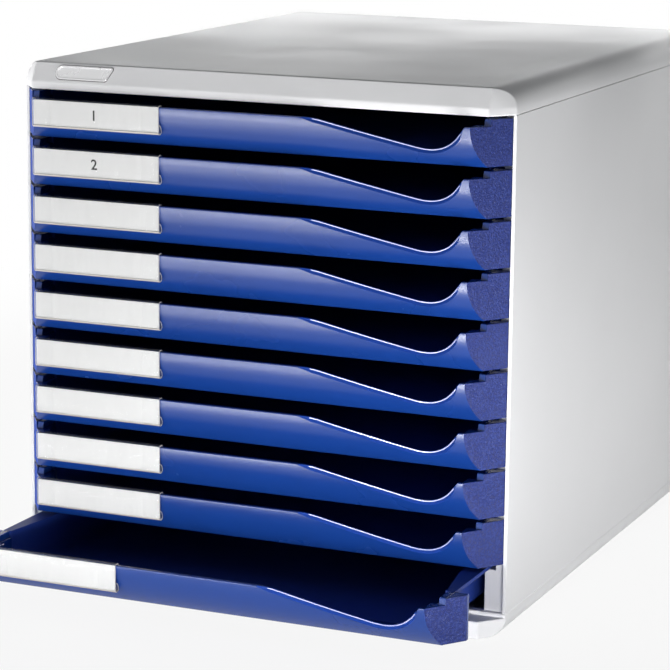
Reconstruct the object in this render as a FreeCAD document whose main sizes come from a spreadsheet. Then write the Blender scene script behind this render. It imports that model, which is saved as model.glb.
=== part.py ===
import FreeCAD, Part
import os

import Sketcher

# A desk unit with ten shallow drawers in a plastic housing. Millimetres, Z up,
# the fronts face -Y. The origin is the middle of the housing's underside. Every
# body is drawn with y = 0 on the plane of the housing's front edge.

DRAWERS = 10

SIZES = [
    # Housing
    ("unit_width", 285, "outside width of the housing"),
    ("unit_depth", 355, "outside depth of the housing"),
    ("base_height", 11.5, "height of the base"),
    ("cover_height", 14.5, "height of the cover"),
    ("drawer_pitch", 26.4, "height of one drawer space"),
    ("corner_cut_width", 10.8, "slanted front corners, measured across"),
    ("corner_cut_depth", 13, "slanted front corners, measured to the rear"),
    ("base_round", 8, "radius of the base's long lower edges"),
    ("cover_round", 12, "radius of the cover's long upper edges"),
    ("brow_lip", 4, "upright part of the cover's front"),
    ("brow_lean", 5, "how far the cover's front leans back"),
    ("shell", 2.5, "floor of the base, ceiling of the cover, rear wall"),
    ("rim_front", 6, "wall behind the cover's front edge"),
    ("rim_rear", 10, "rear rim of base and cover"),
    ("ledge_drop", 2, "step down of the base's front ledge"),
    ("ledge_depth", 12.4, "depth of the base's front ledge"),
    ("side_wall", 13, "thickness of a side panel"),
    ("wall_recess", 15.5, "front face of a side panel behind the front edge"),
    ("wall_lip", 1.9, "thin outer lip of a side panel, beside the fronts"),
    ("wall_lip_start", 12.6, "front end of that lip"),
    ("groove_depth", 3, "groove for the rear wall"),
    ("rear_inset", 4.9, "rear wall ahead of the housing's rear face"),
    ("rib_width", 4, "locating rib on top and bottom of a side panel"),
    ("rib_height", 4, "height of that rib"),
    ("rib_inset", 4.5, "rib from the panel's outer face"),
    ("rib_margin", 40, "rib ends from the front edge"),
    ("rib_rear_margin", 25, "rib ends from the rear face"),
    ("foot_radius", 9, "rubber pad"),
    ("foot_thickness", 1, "thickness of a rubber pad, flush in its seat"),
    ("foot_inset", 27.5, "middle of a pad from the housing's sides"),
    ("fit", 0.15, "clearance of parts that are pushed together"),
    # Drawer
    ("drawer_lift", 0.6, "lower edge of a front above its space"),
    ("play", 0.3, "clearance of parts that slide"),
    ("front_setback", 0.5, "lower edge of a front behind the housing's edge"),
    ("front_bulge", 9.2, "upper edge of a front ahead of its lower edge"),
    ("front_height", 21, "height of a front"),
    ("block_height", 24.4, "height of a front's ends and of the tray's rim"),
    ("front_wall", 2.2, "thickness of a front"),
    ("end_cut_depth", 12, "slanted ends of a front, measured to the rear"),
    ("tray_raise", 1.2, "underside of the tray above the front's lower edge"),
    ("tray_floor", 2, "floor of the tray"),
    ("tray_wall", 1.8, "side wall of the tray"),
    ("tray_round", 6, "radius of the tray's long lower edges"),
    ("tray_play", 0.5, "tray's wide front part from a side panel"),
    ("tray_step", 48, "where the tray gets narrower"),
    ("tray_step_in", 5, "how much narrower on each side"),
    ("tray_rear", 335, "rear face of the tray"),
    ("rim_width", 3, "how far the tray's rim reaches into a slot"),
    ("rim_thickness", 2, "thickness of that rim"),
    ("rim_start", 1.5, "front end of the rim's raised part"),
    ("corner_solid", 7.7, "solid corner of a front, from the slanted corner"),
    ("slot_depth", 6, "slot in a side panel"),
    ("slot_play", 0.6, "slot above the rim"),
    ("lug_width", 2.5, "catch at the rear end of the rim"),
    ("lug_length", 8, "length of the catch"),
    ("stop_width", 2.2, "stop in a slot"),
    ("stop_start", 70, "front end of a stop"),
    ("stop_length", 7, "length of a stop"),
    ("pulled_out", 51.5, "how far the lowest drawer is drawn out"),
    # Scooped upper edge of a front
    ("wave_start", 110.5, "where the edge begins to fall, from the housing's right side"),
    ("wave_crest_radius", 56, "first bend"),
    ("wave_slope", 11.95, "falling slope in degrees"),
    ("wave_low", 40.9, "lowest point, from the housing's right side"),
    ("wave_low_height", 8.2, "height of the lowest point"),
    ("wave_low_radius", 31, "bend before the lowest point"),
    ("wave_rise_radius", 20.75, "bend behind the lowest point"),
    ("wave_rise", 49.7, "rising slope in degrees"),
    # Label holder and its card
    ("label_inset", 16.3, "left end of the holder, from the housing's left side"),
    ("label_width", 76.2, "width of the holder"),
    ("label_bottom", 6.1, "lower edge of the holder"),
    ("label_wall", 0.8, "front wall of the holder"),
    ("label_web", 0.5, "its hook and rear leg"),
    ("label_leg", 12.5, "upper end of the rear leg"),
    ("label_hook", 2.3, "length of the hook"),
    ("card_thickness", 0.25, "card"),
    ("card_height", 14, "height of the card"),
    ("card_margin", 0.4, "card from the holder's ends"),
    # Small plate on the cover's front
    ("badge_inset", 24.5, "left end of the plate, from the housing's left side"),
    ("badge_width", 35, "width of the plate"),
    ("badge_height", 8, "height of the plate"),
    ("badge_thickness", 0.8, "thickness of the plate"),
    ("badge_slant", 4, "slant of its right end"),
    ("badge_round", 1.5, "radius of its corners"),
]

doc = FreeCAD.newDocument("DrawerUnit")
sheet = doc.addObject("Spreadsheet::Sheet", "sizes")
for row, (name, value, note) in enumerate(SIZES, 1):
    sheet.set(f"A{row}", note)
    sheet.set(f"B{row}", str(value))
    sheet.setAlias(f"B{row}", name)
doc.recompute()
NAMES = {name for name, value, note in SIZES}


def size(text):
    """Expression in which every size's name points at its cell in the sheet."""
    words = []
    word = ""
    for letter in text + " ":
        if letter.isalpha() or letter == "_":
            word += letter
            continue
        words.append("sizes." + word if word in NAMES else word)
        words.append(letter)
        word = ""
    return "".join(words).strip()


# Lengths that follow from the sizes
HALF = "(unit_width / 2)"
WALL_INSIDE = f"({HALF} - side_wall)"
STACK = f"({DRAWERS} * drawer_pitch)"
CUT_START = f"({HALF} - corner_cut_width)"
END_FACE = f"({HALF} - wall_lip - play)"
BLOCK_REAR = "(wall_recess - play)"
BEND = "((front_bulge ^ 2 + front_height ^ 2) / (2 * front_bulge))"
BEND_CENTRE = f"(front_setback - front_bulge + {BEND})"
FRONT_TOP = "(front_setback - front_bulge)"
FLOOR_TOP = "(tray_raise + tray_floor)"
WIDE = f"({WALL_INSIDE} - tray_play)"
NARROW = f"({WIDE} - tray_step_in)"
RIM_EDGE = f"({WALL_INSIDE} + rim_width)"
RIM_UNDERSIDE = "(block_height - rim_thickness)"


def new_body(name, height="0", out="0"):
    """Empty body whose drawing plane lies in the housing's front edge, at a height."""
    body = doc.addObject("PartDesign::Body", name)
    body.Label = name
    body.setExpression("Placement.Base.y", size(f"-unit_depth / 2 - ({out})"))
    body.setExpression("Placement.Base.z", size(height))
    return body


def outline(body, name, role, loops, lift="0"):
    """Closed outlines on one of the body's own planes, moved along its normal by lift.

    A corner is (across, up). A third and a fourth entry make the edge that
    follows it an arc: its radius, and 1 or -1 for an arc left or right of the
    straight way. Every corner and radius is tied to the sizes.
    """
    sketch = body.newObject("Sketcher::SketchObject", name)
    origin = {feature.Role: feature for feature in body.Origin.OriginFeatures}
    sketch.AttachmentSupport = [(origin[role], "")]
    sketch.MapMode = "FlatFace"
    sketch.setExpression("AttachmentOffset.Base.z", size(lift))
    for corners in loops:
        points = [sketch.addGeometry(Part.Point(FreeCAD.Vector()), True) for corner in corners]
        for point, corner in zip(points, corners):
            for kind, text in zip(("DistanceX", "DistanceY"), corner):
                tie = sketch.addConstraint(Sketcher.Constraint(kind, -1, 1, point, 1, 1.0))
                sketch.setExpression(f"Constraints[{tie}]", size(text))
        doc.recompute()
        for index, corner in enumerate(corners):
            first = points[index]
            last = points[(index + 1) % len(points)]
            start = sketch.getPoint(first, 1)
            end = sketch.getPoint(last, 1)
            ends = (1, 2)
            if len(corner) == 2:
                edge = sketch.addGeometry(Part.LineSegment(start, end), False)
            else:
                way = end - start
                aside = FreeCAD.Vector(-way.y, way.x, 0) * 0.2 * corner[3]
                edge = sketch.addGeometry(Part.Arc(start, (start + end) / 2 + aside, end), False)
                if (sketch.getPoint(edge, 1) - start).Length > (sketch.getPoint(edge, 2) - start).Length:
                    ends = (2, 1)
            sketch.addConstraint(Sketcher.Constraint("Coincident", edge, ends[0], first, 1))
            sketch.addConstraint(Sketcher.Constraint("Coincident", edge, ends[1], last, 1))
            if len(corner) == 4:
                rough = (start - end).Length
                tie = sketch.addConstraint(Sketcher.Constraint("Radius", edge, rough))
                sketch.setExpression(f"Constraints[{tie}]", size(corner[2]))
    doc.recompute()
    return sketch


def box_corners(left, right, low, high):
    """Corners of a rectangle."""
    return [(left, low), (right, low), (right, high), (left, high)]


def build(body, kind, name, sketch, length, reverse=False, symmetric=False):
    """Pad or pocket of a sketch; a pad must add volume and a pocket must take some away."""
    before = body.Tip.Shape.Volume if body.Tip else 0.0
    feature = body.newObject(f"PartDesign::{kind}", name)
    feature.Profile = sketch
    feature.setExpression("Length", size(length))
    feature.Reversed = reverse
    if symmetric:
        feature.SideType = "Symmetric"
    doc.recompute()
    change = feature.Shape.Volume - before
    if (change if kind == "Pad" else -change) < 1:
        raise ValueError(f"{body.Label} {name} has no effect")
    return feature


def along_depth(body, kind, name, loops, start, end):
    """Pad or pocket of an outline across the unit, from one depth to another."""
    sketch = outline(body, name + "_outline", "XZ_Plane", loops, f"-({start})")
    return build(body, kind, name, sketch, f"({end}) - ({start})", reverse=kind == "Pad")


def across(body, kind, name, loops, half):
    """Pad or pocket of a side outline, to both sides of the middle."""
    sketch = outline(body, name + "_outline", "YZ_Plane", loops)
    return build(body, kind, name, sketch, f"2 * ({half})", symmetric=True)


def upwards(body, kind, name, loops, low, high):
    """Pad or pocket of a plan outline, from one height to another."""
    sketch = outline(body, name + "_outline", "XY_Plane", loops, low)
    return build(body, kind, name, sketch, f"({high}) - ({low})", reverse=kind == "Pocket")


def both_sides(corners):
    """An outline right of the middle and its mirror image left of it."""
    mirrored = [("-(" + corner[0] + ")", corner[1]) for corner in corners]
    return [corners, mirrored]


def repeat(body, name, feature):
    """The same feature once in every drawer space."""
    pattern = body.newObject("PartDesign::LinearPattern", name)
    pattern.Originals = [feature]
    origin = {part.Role: part for part in body.Origin.OriginFeatures}
    pattern.Direction = (origin["Z_Axis"], [""])
    pattern.setExpression("Length", size(f"{DRAWERS - 1} * drawer_pitch"))
    pattern.Occurrences = DRAWERS
    body.Tip = pattern
    doc.recompute()
    return pattern


CORNER_CUTS = both_sides([
    (CUT_START, "0"),
    (HALF, "corner_cut_depth"),
    (f"{HALF} + corner_cut_width", "corner_cut_depth"),
    (f"{HALF} + corner_cut_width", "-corner_cut_depth"),
    (CUT_START, "-corner_cut_depth"),
])
RIB_SEATS = both_sides(box_corners(
    f"{HALF} - rib_inset - rib_width - fit", f"{HALF} - rib_inset + fit",
    "rib_margin - fit", "unit_depth - rib_rear_margin + fit"))


# Base: floor, long rounded edges, ledge under the lowest front, seats for ribs and pads
base = new_body("base_tray")
along_depth(base, "Pad", "shell", [[
    (f"-({HALF} - base_round)", "0"),
    (f"{HALF} - base_round", "0", "base_round", -1),
    (HALF, "base_round"),
    (HALF, "base_height"),
    (f"-{HALF}", "base_height"),
    (f"-{HALF}", "base_round", "base_round", -1),
]], "0", "unit_depth")
upwards(base, "Pocket", "corner_cuts", CORNER_CUTS, "0", "base_height")
upwards(base, "Pocket", "ledge", [box_corners(
    f"-{HALF}", HALF, "0", "ledge_depth")], "base_height - ledge_drop", "base_height")
upwards(base, "Pocket", "inside", [box_corners(
    f"-({WALL_INSIDE} - rib_width / 2)", f"{WALL_INSIDE} - rib_width / 2",
    "wall_recess + shell", "unit_depth - rim_rear")], "shell", "base_height")
upwards(base, "Pocket", "rib_seats", RIB_SEATS, "base_height - rib_height - fit", "base_height")

FOOT_PLACES = {
    "front_left": (f"-({HALF} - foot_inset)", "foot_inset"),
    "front_right": (f"{HALF} - foot_inset", "foot_inset"),
    "rear_left": (f"-({HALF} - foot_inset)", "unit_depth - foot_inset"),
    "rear_right": (f"{HALF} - foot_inset", "unit_depth - foot_inset"),
}


def disc_outline(body, name, places, radius):
    """Circles in the ground plane, each tied to its place."""
    sketch = body.newObject("Sketcher::SketchObject", name)
    origin = {feature.Role: feature for feature in body.Origin.OriginFeatures}
    sketch.AttachmentSupport = [(origin["XY_Plane"], "")]
    sketch.MapMode = "FlatFace"
    for number, place in enumerate(places):
        middle = FreeCAD.Vector(20 * number, 0, 0)
        circle = sketch.addGeometry(Part.Circle(middle, FreeCAD.Vector(0, 0, 1), 5), False)
        for kind, text in zip(("DistanceX", "DistanceY"), place):
            tie = sketch.addConstraint(Sketcher.Constraint(kind, -1, 1, circle, 3, 1.0))
            sketch.setExpression(f"Constraints[{tie}]", size(text))
        tie = sketch.addConstraint(Sketcher.Constraint("Radius", circle, 5))
        sketch.setExpression(f"Constraints[{tie}]", size(radius))
    doc.recompute()
    return sketch


seats = disc_outline(base, "foot_seats_outline", FOOT_PLACES.values(), "foot_radius + fit")
build(base, "Pocket", "foot_seats", seats, "foot_thickness", reverse=True)
feet = []
for place, middle in FOOT_PLACES.items():
    foot = new_body("rubber_foot_" + place)
    disc = disc_outline(foot, "disc_outline", [middle], "foot_radius")
    build(foot, "Pad", "disc", disc, "foot_thickness")
    feet.append(foot)


# Side panels: recessed front, thin outer lip, ten slots with stops, groove, ribs
def side_panel(name, side):
    """One side panel; side is an empty text for the right one or a minus for the left."""
    body = new_body(name, "base_height")

    def place(text):
        return f"{side}({text})"

    upwards(body, "Pad", "wall", [[
        (place(WALL_INSIDE), "wall_recess"),
        (place(f"{HALF} - wall_lip"), "wall_recess"),
        (place(f"{HALF} - wall_lip"), "wall_lip_start"),
        (place(HALF), "corner_cut_depth"),
        (place(HALF), "unit_depth"),
        (place(WALL_INSIDE), "unit_depth"),
    ]], "0", STACK)
    low = f"(drawer_lift + {RIM_UNDERSIDE} - play)"
    high = "(drawer_lift + block_height + slot_play)"
    slot = along_depth(body, "Pocket", "slot", [box_corners(
        place(WALL_INSIDE), place(f"{WALL_INSIDE} + slot_depth"), low, high)],
        "wall_recess", "unit_depth - rim_rear")
    repeat(body, "slots", slot)
    stop = along_depth(body, "Pad", "stop", [box_corners(
        place(f"{WALL_INSIDE} + slot_depth - stop_width"),
        place(f"{WALL_INSIDE} + slot_depth"), low, high)],
        "stop_start", "stop_start + stop_length")
    repeat(body, "stops", stop)
    groove = box_corners(
        place(WALL_INSIDE), place(f"{WALL_INSIDE} + groove_depth"),
        "unit_depth - rear_inset - shell - fit", "unit_depth - rear_inset + fit")
    upwards(body, "Pocket", "groove", [groove], "0", STACK)
    rib = box_corners(
        place(f"{HALF} - rib_inset - rib_width"), place(f"{HALF} - rib_inset"),
        "rib_margin", "unit_depth - rib_rear_margin")
    upwards(body, "Pad", "upper_rib", [rib], STACK, f"{STACK} + rib_height")
    upwards(body, "Pad", "lower_rib", [rib], "-rib_height", "0")
    return body


right_panel = side_panel("side_panel_right", "")
left_panel = side_panel("side_panel_left", "-")

# Rear wall, held in the grooves
back = new_body("back_panel", "base_height")
upwards(back, "Pad", "sheet", [box_corners(
    f"-({WALL_INSIDE} + groove_depth - fit)", f"{WALL_INSIDE} + groove_depth - fit",
    "unit_depth - rear_inset - shell", "unit_depth - rear_inset")], "0", STACK)

# Cover: long rounded edges, upright lip, leaning brow, hollow underside
cover = new_body("top_cover", f"base_height + {STACK}")
along_depth(cover, "Pad", "shell", [[
    (f"-{HALF}", "0"),
    (HALF, "0"),
    (HALF, "cover_height - cover_round", "cover_round", -1),
    (f"{HALF} - cover_round", "cover_height"),
    (f"-({HALF} - cover_round)", "cover_height", "cover_round", -1),
    (f"-{HALF}", "cover_height - cover_round"),
]], "0", "unit_depth")
upwards(cover, "Pocket", "corner_cuts", CORNER_CUTS, "0", "cover_height")


def brow_plan(lean):
    """What is cut away ahead of the brow, at the height where it leans this far."""
    return [[
        (f"-({HALF} + corner_cut_width)", "-corner_cut_depth"),
        (f"{HALF} + corner_cut_width", "-corner_cut_depth"),
        (f"{HALF} + corner_cut_width", f"2 * corner_cut_depth + {lean}"),
        (CUT_START, lean),
        (f"-{CUT_START}", lean),
        (f"-({HALF} + corner_cut_width)", f"2 * corner_cut_depth + {lean}"),
    ]]


brow = cover.newObject("PartDesign::SubtractiveLoft", "brow")
brow.Profile = outline(cover, "brow_low_outline", "XY_Plane", brow_plan("0"), "brow_lip")
brow.Sections = [outline(cover, "brow_high_outline", "XY_Plane",
                         brow_plan("2 * brow_lean"), "2 * cover_height - brow_lip")]
brow.Ruled = True
doc.recompute()
upwards(cover, "Pocket", "inside", [box_corners(
    f"-({WALL_INSIDE} - fit)", f"{WALL_INSIDE} - fit",
    "rim_front", "unit_depth - rim_rear")], "0", "cover_height - shell")
upwards(cover, "Pocket", "rib_seats", RIB_SEATS, "0", "rib_height + fit")

# Blank plate on the brow, drawn upright and then leaned back with the brow
badge = new_body("badge_plate", f"base_height + {STACK} + brow_lip")
badge.Placement.Rotation = FreeCAD.Rotation(FreeCAD.Vector(1, 0, 0), -1)
badge.setExpression("Placement.Rotation.Angle", size("-atan(brow_lean / (cover_height - brow_lip))"))
LOW = "((sqrt(brow_lean ^ 2 + (cover_height - brow_lip) ^ 2) - badge_height) / 2)"
LEFT = f"(badge_inset - {HALF})"
RIGHT = f"({LEFT} + badge_width)"
along_depth(badge, "Pad", "plate", [[
    (f"{LEFT} + badge_round", LOW),
    (f"{RIGHT} - badge_slant - badge_round", LOW, "badge_round", -1),
    (f"{RIGHT} - badge_slant", f"{LOW} + badge_round"),
    (RIGHT, f"{LOW} + badge_height - badge_round", "badge_round", -1),
    (f"{RIGHT} - badge_round", f"{LOW} + badge_height"),
    (f"{LEFT} + badge_round", f"{LOW} + badge_height", "badge_round", -1),
    (LEFT, f"{LOW} + badge_height - badge_round"),
    (LEFT, f"{LOW} + badge_round", "badge_round", -1),
]], "-badge_thickness", "0")


# Drawer tray: bulging front with a scooped edge, tray with a rim that runs in the slots
def tray_section(outside, inside, rim):
    """Cross-section of the tray: floor, rounded corners, walls and the rim turned outwards."""
    inner_round = "(tray_round - tray_wall)"
    right = [
        (f"({outside} - tray_round)", "tray_raise", "tray_round", -1),
        (outside, "tray_raise + tray_round"),
        (outside, RIM_UNDERSIDE),
        (rim, RIM_UNDERSIDE),
        (rim, "block_height"),
        (inside, "block_height"),
        (inside, f"{FLOOR_TOP} + {inner_round}", inner_round, 1),
        (f"({inside} - {inner_round})", FLOOR_TOP),
    ]
    left = []
    for index in range(len(right) - 1, -1, -1):
        point = ("-" + right[index][0], right[index][1])
        bend = right[index - 1][2:] if index else ()
        left.append(point + bend)
    return [right + left]


def wave_outline():
    """What the scoop takes from the front: a falling S-curve and a steep rise at its right."""
    start_x = f"({HALF} - wave_start)"
    middle_x = f"({HALF} - wave_low)"
    crest_x = f"({start_x} + wave_crest_radius * sin(wave_slope * 1deg))"
    crest_z = "(front_height - wave_crest_radius * (1 - cos(wave_slope * 1deg)))"
    low_x = f"({middle_x} - wave_low_radius * sin(wave_slope * 1deg))"
    low_z = "(wave_low_height + wave_low_radius * (1 - cos(wave_slope * 1deg)))"
    rise_x = f"({middle_x} + wave_rise_radius * sin(wave_rise * 1deg))"
    rise_z = "(wave_low_height + wave_rise_radius * (1 - cos(wave_rise * 1deg)))"
    end_x = f"({rise_x} + (front_height - {rise_z}) / tan(wave_rise * 1deg))"
    return [[
        (start_x, "front_height", "wave_crest_radius", 1),
        (crest_x, crest_z),
        (low_x, low_z, "wave_low_radius", -1),
        (middle_x, "wave_low_height", "wave_rise_radius", -1),
        (rise_x, rise_z),
        (end_x, "front_height"),
        (end_x, "block_height + rim_thickness"),
        (start_x, "block_height + rim_thickness"),
    ]]


tray = new_body("drawer_tray_01", f"base_height + {DRAWERS - 1} * drawer_pitch + drawer_lift")
across(tray, "Pad", "front", [[
    ("front_setback", "0"),
    (BLOCK_REAR, "0"),
    (BLOCK_REAR, "front_height"),
    (FRONT_TOP, "front_height", BEND, -1),
]], END_FACE)
END_CUT_WIDTH = f"({END_FACE} - {CUT_START})"
upwards(tray, "Pad", "end_blocks", both_sides([
    (RIM_EDGE, "front_setback + 1"),
    (END_FACE, "front_setback + end_cut_depth"),
    (END_FACE, BLOCK_REAR),
    (RIM_EDGE, BLOCK_REAR),
]), "front_height", "block_height")
upwards(tray, "Pad", "rim_ends", both_sides(box_corners(
    f"{WIDE} - tray_wall", f"{RIM_EDGE}", "rim_start", BLOCK_REAR)),
    "front_height", "block_height")
upwards(tray, "Pocket", "corner_cuts", both_sides([
    (f"{CUT_START} - {END_CUT_WIDTH}", "front_setback - end_cut_depth"),
    (f"{END_FACE} + {END_CUT_WIDTH}", "front_setback + 2 * end_cut_depth"),
    (f"{END_FACE} + {END_CUT_WIDTH}", "front_setback - end_cut_depth"),
]), "0", "block_height")
along_depth(tray, "Pad", "wide_part", tray_section(WIDE, f"({WIDE} - tray_wall)", RIM_EDGE),
            f"{BLOCK_REAR} - tray_wall", "tray_step")
along_depth(tray, "Pad", "step_part", tray_section(WIDE, f"({NARROW} - tray_wall)", RIM_EDGE),
            "tray_step - tray_wall", "tray_step")
along_depth(tray, "Pad", "narrow_part", tray_section(NARROW, f"({NARROW} - tray_wall)", RIM_EDGE),
            "tray_step - tray_wall", "tray_rear")
along_depth(tray, "Pad", "rear_wall", [[
    (f"-({NARROW} - tray_round)", "tray_raise"),
    (f"{NARROW} - tray_round", "tray_raise", "tray_round", -1),
    (NARROW, "tray_raise + tray_round"),
    (NARROW, "block_height"),
    (f"-{NARROW}", "block_height"),
    (f"-{NARROW}", "tray_raise + tray_round", "tray_round", -1),
]], "tray_rear - tray_wall", "tray_rear")
upwards(tray, "Pad", "lugs", both_sides(box_corners(
    f"{RIM_EDGE} - lug_width", f"{RIM_EDGE} + lug_width",
    "tray_rear - lug_length", "tray_rear")), RIM_UNDERSIDE, "block_height")
inner_start = (f"({BEND_CENTRE} - sqrt(({BEND} - front_wall) ^ 2"
               f" - (front_height - {FLOOR_TOP}) ^ 2))")
across(tray, "Pocket", "front_hollow", [[
    (inner_start, FLOOR_TOP),
    ("wall_recess", FLOOR_TOP),
    ("wall_recess", "block_height"),
    (f"{FRONT_TOP} + front_wall", "block_height"),
    (f"{FRONT_TOP} + front_wall", "front_height", f"({BEND} - front_wall)", -1),
]], f"{CUT_START} - corner_solid")
upwards(tray, "Pocket", "corner_hollow", [box_corners(
    f"-({WIDE} - tray_wall)", f"{WIDE} - tray_wall",
    f"{inner_start} + front_wall", "wall_recess")], FLOOR_TOP, "block_height")
along_depth(tray, "Pocket", "wave", wave_outline(), "-2 * front_bulge", f"{inner_start} + front_wall")

# Label holder: a clear profile hooked over the front's upper edge, with a trough below
holder = new_body("label_holder_01", f"base_height + {DRAWERS - 1} * drawer_pitch + drawer_lift")
HOLDER_REAR = f"({FRONT_TOP} - card_thickness - fit / 3)"
HOLDER_FRONT = f"({HOLDER_REAR} - label_wall)"
HOLDER_TOP = "(front_height + fit + label_wall)"
HOOK = f"({FRONT_TOP} + front_wall + fit)"


def beside_front(height, gap):
    """Depth just ahead of the front's bulging face at this height."""
    return f"({BEND_CENTRE} - sqrt({BEND} ^ 2 - (front_height - {height}) ^ 2) - {gap})"


def profile_along_label(body, name, corners, margin):
    """Pad of a side outline over the width of the label holder."""
    start = f"label_inset - {HALF} + {margin}"
    sketch = outline(body, name + "_outline", "YZ_Plane", [corners], start)
    return build(body, "Pad", name, sketch, f"label_width - 2 * ({margin})")


LEG_FOOT = "(label_bottom + label_wall)"
LEG_KNEE = "(label_bottom + 2 * label_wall + card_height / 8)"
profile_along_label(holder, "profile", [
    (HOLDER_FRONT, HOLDER_TOP),
    (HOLDER_FRONT, "label_bottom"),
    (beside_front(LEG_FOOT, "fit"), "label_bottom + label_wall / 2"),
    (beside_front(LEG_FOOT, "fit"), LEG_FOOT),
    (beside_front(LEG_KNEE, "fit"), LEG_KNEE),
    (beside_front("label_leg", "fit"), "label_leg"),
    (beside_front("label_leg", "fit - label_web"), "label_leg"),
    (beside_front(LEG_KNEE, "fit - label_web"), LEG_KNEE),
    (beside_front(LEG_FOOT, "fit - 2 * label_web"), f"{LEG_FOOT} + label_web"),
    (HOLDER_REAR, f"{LEG_FOOT}"),
    (HOLDER_REAR, f"{HOLDER_TOP} - label_wall"),
    (HOOK, f"{HOLDER_TOP} - label_wall"),
    (HOOK, f"{HOLDER_TOP} - label_hook"),
    (f"{HOOK} + label_web", f"{HOLDER_TOP} - label_hook"),
    (f"{HOOK} + label_web", HOLDER_TOP),
], "0")

# Card behind the holder's front wall
card = new_body("label_card_01", f"base_height + {DRAWERS - 1} * drawer_pitch + drawer_lift")
profile_along_label(card, "paper", box_corners(
    HOLDER_REAR, f"{HOLDER_REAR} + card_thickness",
    f"{LEG_FOOT} + fit", f"{LEG_FOOT} + fit + card_height"), "card_margin")


# The other drawers: the same mouldings, one space lower each, the lowest drawn out
def same_part(first, name, number):
    """A further part from the first drawer's mould, in its own drawer space."""
    height = f"base_height + {DRAWERS - number} * drawer_pitch + drawer_lift"
    body = new_body(name, height, "pulled_out" if number == DRAWERS else "0")
    mould = doc.addObject("PartDesign::FeatureBase", name + "_mould")
    mould.BaseFeature = first
    body.Group = [mould]
    body.Tip = mould
    return body


trays = [tray]
holders = [holder]
cards = [card]
for number in range(2, DRAWERS + 1):
    trays.append(same_part(tray, f"drawer_tray_{number:02d}", number))
    holders.append(same_part(holder, f"label_holder_{number:02d}", number))
    cards.append(same_part(card, f"label_card_{number:02d}", number))
doc.recompute()

# Every object must be sound before the parts are written
pieces = [base] + feet + [left_panel, right_panel, back, cover, badge] + trays + holders + cards
for item in doc.Objects:
    if "Invalid" in item.State or "Error" in item.State:
        raise ValueError(f"{item.Label} could not be computed")
os.makedirs("parts", exist_ok=True)
for piece in pieces:
    if piece.Shape.isNull() or not piece.Shape.isValid():
        raise ValueError(f"{piece.Label} has no sound shape")
    piece.Shape.exportStep(f"parts/{piece.Label}.step")
    box = piece.Shape.BoundBox
    print(piece.Label, round(piece.Shape.Volume), len(piece.Shape.Solids),
          [round(v, 2) for v in (box.XMin, box.XMax, box.YMin, box.YMax, box.ZMin, box.ZMax)])
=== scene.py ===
import math

import bmesh
import bpy
import numpy as np
from mathutils import Euler, Matrix, Vector


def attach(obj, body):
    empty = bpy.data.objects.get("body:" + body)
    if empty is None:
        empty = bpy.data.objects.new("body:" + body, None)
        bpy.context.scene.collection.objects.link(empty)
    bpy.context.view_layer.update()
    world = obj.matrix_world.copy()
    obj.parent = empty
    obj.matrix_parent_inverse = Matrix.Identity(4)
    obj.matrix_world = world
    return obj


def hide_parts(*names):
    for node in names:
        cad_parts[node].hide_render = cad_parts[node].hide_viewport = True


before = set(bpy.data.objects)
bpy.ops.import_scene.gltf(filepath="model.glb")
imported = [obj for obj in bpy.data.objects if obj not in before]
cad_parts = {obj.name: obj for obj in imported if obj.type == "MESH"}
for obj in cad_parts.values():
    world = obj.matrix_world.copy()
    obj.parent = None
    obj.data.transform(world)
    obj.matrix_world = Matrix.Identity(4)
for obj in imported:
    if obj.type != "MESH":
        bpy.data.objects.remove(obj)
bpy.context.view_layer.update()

# Housing shell: base, two side panels, rear wall and cover, each one moulding in
# pale grey plastic with a fine matt grain. They push together on ribs and grooves,
# so every edge is softly rounded and a thin parting line shows between them.
HOUSING_GREY = (0.78, 0.78, 0.79)
# Each moulding's edge radius in metres, and the angle in degrees from which an edge is
# rounded.
HOUSING_EDGES = {
    "base_tray": (0.0006, 42),
    "side_panel_left": (0.00035, 22),
    "side_panel_right": (0.00035, 22),
    "back_panel": (0.0003, 22),
    "top_cover": (0.0008, 22),
}
MICRONS_PER_METRE = 1e6
FLAT_WITHIN, SHARP_FROM = math.radians(2.2), math.radians(30)


def plastic_skin_group():
    """Shader group for moulded plastic: a fine grain as a height, and a soft cloud as a mask."""
    group = bpy.data.node_groups.new("plastic skin", "ShaderNodeTree")
    for name, kind in (("Place", "NodeSocketVector"), ("Grain per metre", "NodeSocketFloat"),
                       ("Clouds per metre", "NodeSocketFloat")):
        group.interface.new_socket(name, in_out="INPUT", socket_type=kind)
    for name in ("Grain", "Cloud"):
        group.interface.new_socket(name, in_out="OUTPUT", socket_type="NodeSocketFloat")
    nodes, links = group.nodes, group.links
    given = nodes.new("NodeGroupInput")
    result = nodes.new("NodeGroupOutput")
    grain = nodes.new("ShaderNodeTexNoise")
    grain.inputs["Detail"].default_value = 2.0
    grain.inputs["Roughness"].default_value = 0.6
    cloud = nodes.new("ShaderNodeTexNoise")
    cloud.inputs["Detail"].default_value = 3.0
    links.new(given.outputs["Place"], grain.inputs["Vector"])
    links.new(given.outputs["Grain per metre"], grain.inputs["Scale"])
    links.new(given.outputs["Place"], cloud.inputs["Vector"])
    links.new(given.outputs["Clouds per metre"], cloud.inputs["Scale"])
    links.new(grain.outputs["Fac"], result.inputs["Grain"])
    links.new(cloud.outputs["Fac"], result.inputs["Cloud"])
    return group


PLASTIC_SKIN = plastic_skin_group()


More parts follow.
